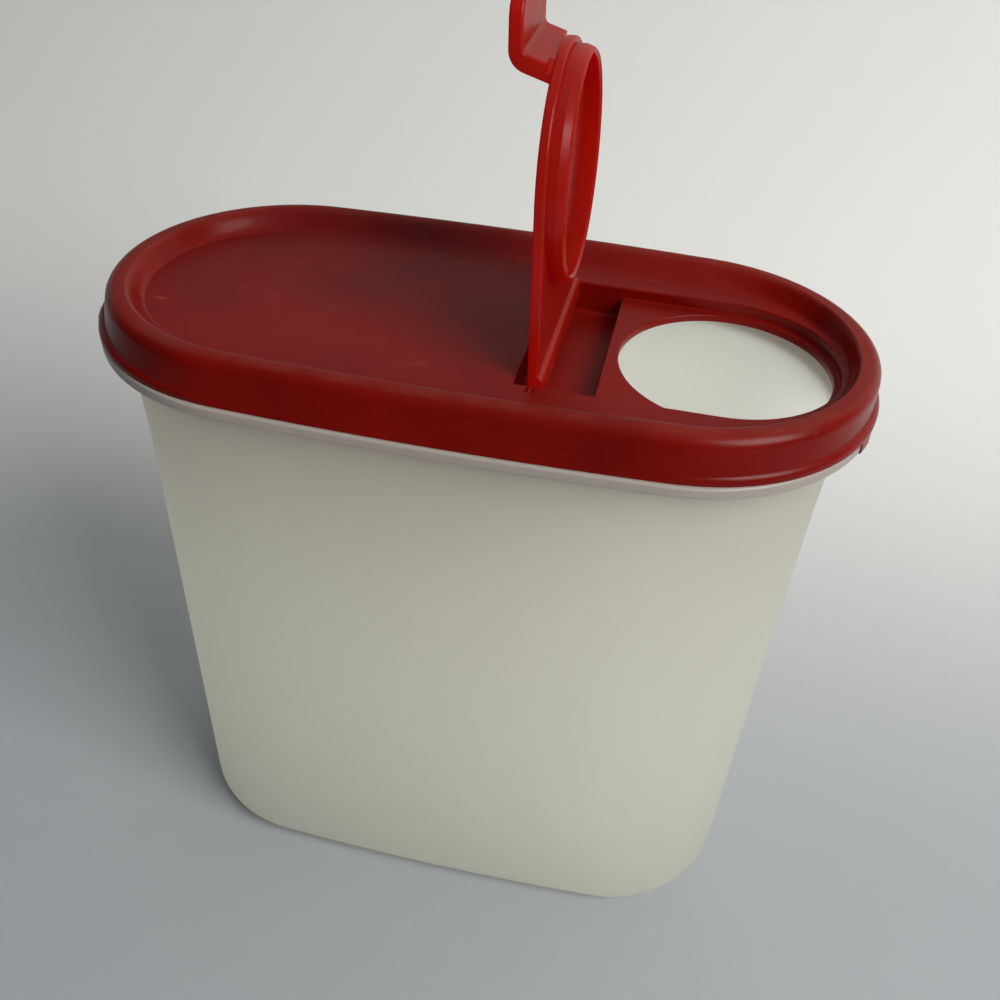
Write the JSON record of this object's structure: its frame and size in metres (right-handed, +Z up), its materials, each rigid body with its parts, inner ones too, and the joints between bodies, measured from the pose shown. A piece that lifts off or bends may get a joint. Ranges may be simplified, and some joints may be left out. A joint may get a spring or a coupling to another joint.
{
  "type": "food storage container",
  "caption": "Tall oval food storage container: a frosted body, a red lift-off lid and a hinged flip cap that plugs the lid's pour hole.",
  "frame": {"origin": "centre of the foot, on the table", "axes": "+Z up; +X towards the pour end, along the long side; Y across the narrow side"},
  "size_m": [0.1858, 0.095, 0.2473],
  "materials": {
    "frosted_plastic": "milky translucent, satin",
    "red_plastic": "soft gloss with fine wear"
  },
  "bodies": {
    "container": {"container": "frosted_plastic"},
    "lid": {"lid": "red_plastic"},
    "flip_cap": {"flip_cap": "red_plastic"}
  },
  "joints": [
    {"name": "lid_lift", "type": "slide", "parent": "container", "child": "lid", "axis": [0, 0, 1], "range_m": [0, 0.06]},
    {"name": "cap_hinge", "type": "hinge", "parent": "lid", "child": "flip_cap", "pos_m": [0.01695, 0, 0.17058], "axis": [0, 1, 0], "range_deg": [-48, 91.83]}
  ]
}
